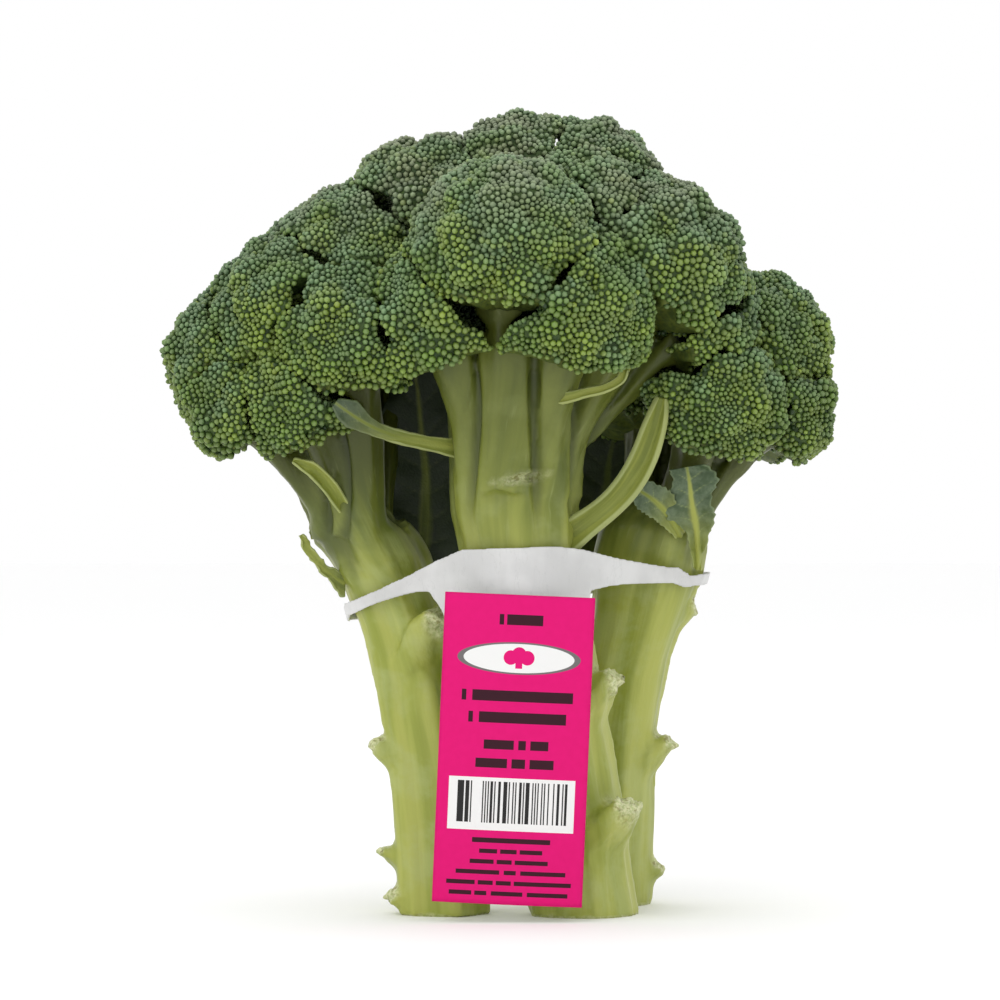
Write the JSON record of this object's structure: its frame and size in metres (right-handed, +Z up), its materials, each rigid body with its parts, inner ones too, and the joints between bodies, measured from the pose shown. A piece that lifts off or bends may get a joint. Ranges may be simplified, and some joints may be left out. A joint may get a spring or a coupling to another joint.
{
  "type": "bunch of broccoli",
  "caption": "Upright bunch of broccoli heads: pale ridged stalks branch into domed crowns of tiny green buds, tied by a flat band with a hanging label tag.",
  "frame": {"origin": "on the ground, under the middle of the bounding box; the bunch stands on its cut stalk ends", "axes": "+Z up, from the cut ends to the crown; +X to the right and +Y to the back, with the label tag on the -Y side"},
  "size_m": [0.1684, 0.1016, 0.201],
  "materials": {
    "stalk": "waxy, pale yellow-green",
    "floret": "matte, dense round buds, dark blue-green",
    "leaf": "waxy, grey-green",
    "band": "satin, translucent white film",
    "tag": "satin print, bright pink"
  },
  "bodies": {
    "root": {"center_stalk": "stalk", "left_stalk": "stalk", "right_stalk": "stalk", "center_floret_back": "floret", "center_floret_back_left": "floret", "center_floret_back_low_left": "floret", "center_floret_back_low_right": "floret", "center_floret_back_right": "floret", "center_floret_front": "floret", "center_floret_front_left": "floret", "center_floret_front_low": "floret", "center_floret_front_upper": "floret", "center_floret_right": "floret", "center_floret_right_low": "floret", "center_floret_top": "floret", "center_floret_top_left": "floret", "center_floret_top_right": "floret", "left_floret_back_inner": "floret", "left_floret_back_low": "floret", "left_floret_back_side": "floret", "left_floret_back_upper": "floret", "left_floret_far": "floret", "left_floret_far_low": "floret", "left_floret_front": "floret", "left_floret_front_low": "floret", "left_floret_side": "floret", "left_floret_upper": "floret", "right_floret_back": "floret", "right_floret_back_low": "floret", "right_floret_front": "floret", "right_floret_inner": "floret", "right_floret_side_low": "floret", "right_floret_upper": "floret", "center_leaf_curl": "leaf", "center_leaf_petiole": "leaf", "center_leaf_strap": "leaf", "left_leaf_bract": "leaf", "left_leaf_inner_leaf": "leaf", "left_leaf_peel": "leaf", "right_leaf_back_leaf": "leaf", "right_leaf_side_leaf": "leaf", "right_leaf_upright_leaf": "leaf", "band": "band", "label_tag": "tag"}
  },
  "joints": []
}
